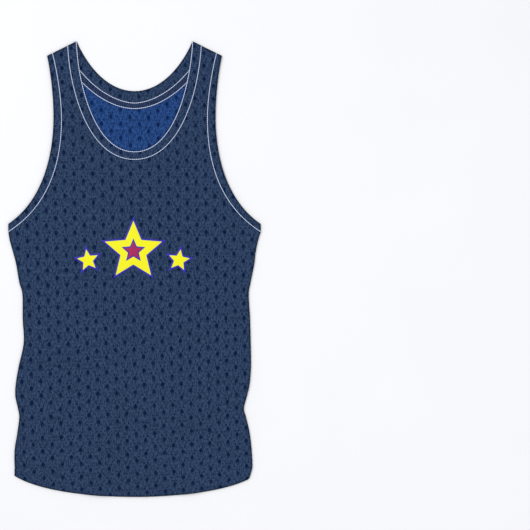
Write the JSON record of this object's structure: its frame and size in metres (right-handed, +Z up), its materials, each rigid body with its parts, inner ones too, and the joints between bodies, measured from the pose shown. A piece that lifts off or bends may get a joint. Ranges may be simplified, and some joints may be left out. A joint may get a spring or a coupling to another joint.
{
  "type": "sleeveless training bib",
  "caption": "Sleeveless eyelet-mesh training bib with a scooped neck, deep armholes and a curved hem, laid flat with its front upward.",
  "frame": {"origin": "centre of the outline on the surface that the garment lies on", "axes": "+Y towards the collar, +X to the right as seen from above, +Z up out of the garment's front"},
  "size_m": [0.4102, 0.7405, 0.0053],
  "materials": {
    "eyelet_mesh": "navy polyester eyelet mesh, matt, royal blue on its wrong side",
    "neck_tape": "navy knitted tape, matt",
    "stitching": "white polyester thread",
    "chest_print": "yellow heat-transfer film with a blue border, satin"
  },
  "bodies": {
    "root": {"front_panel": "eyelet_mesh", "back_panel": "eyelet_mesh", "neck_band_front": "eyelet_mesh", "neck_band_back": "eyelet_mesh", "armhole_band_left_front": "eyelet_mesh", "armhole_band_left_back": "eyelet_mesh", "armhole_band_right_front": "eyelet_mesh", "armhole_band_right_back": "eyelet_mesh", "neck_tape": "neck_tape"}
  },
  "joints": []
}
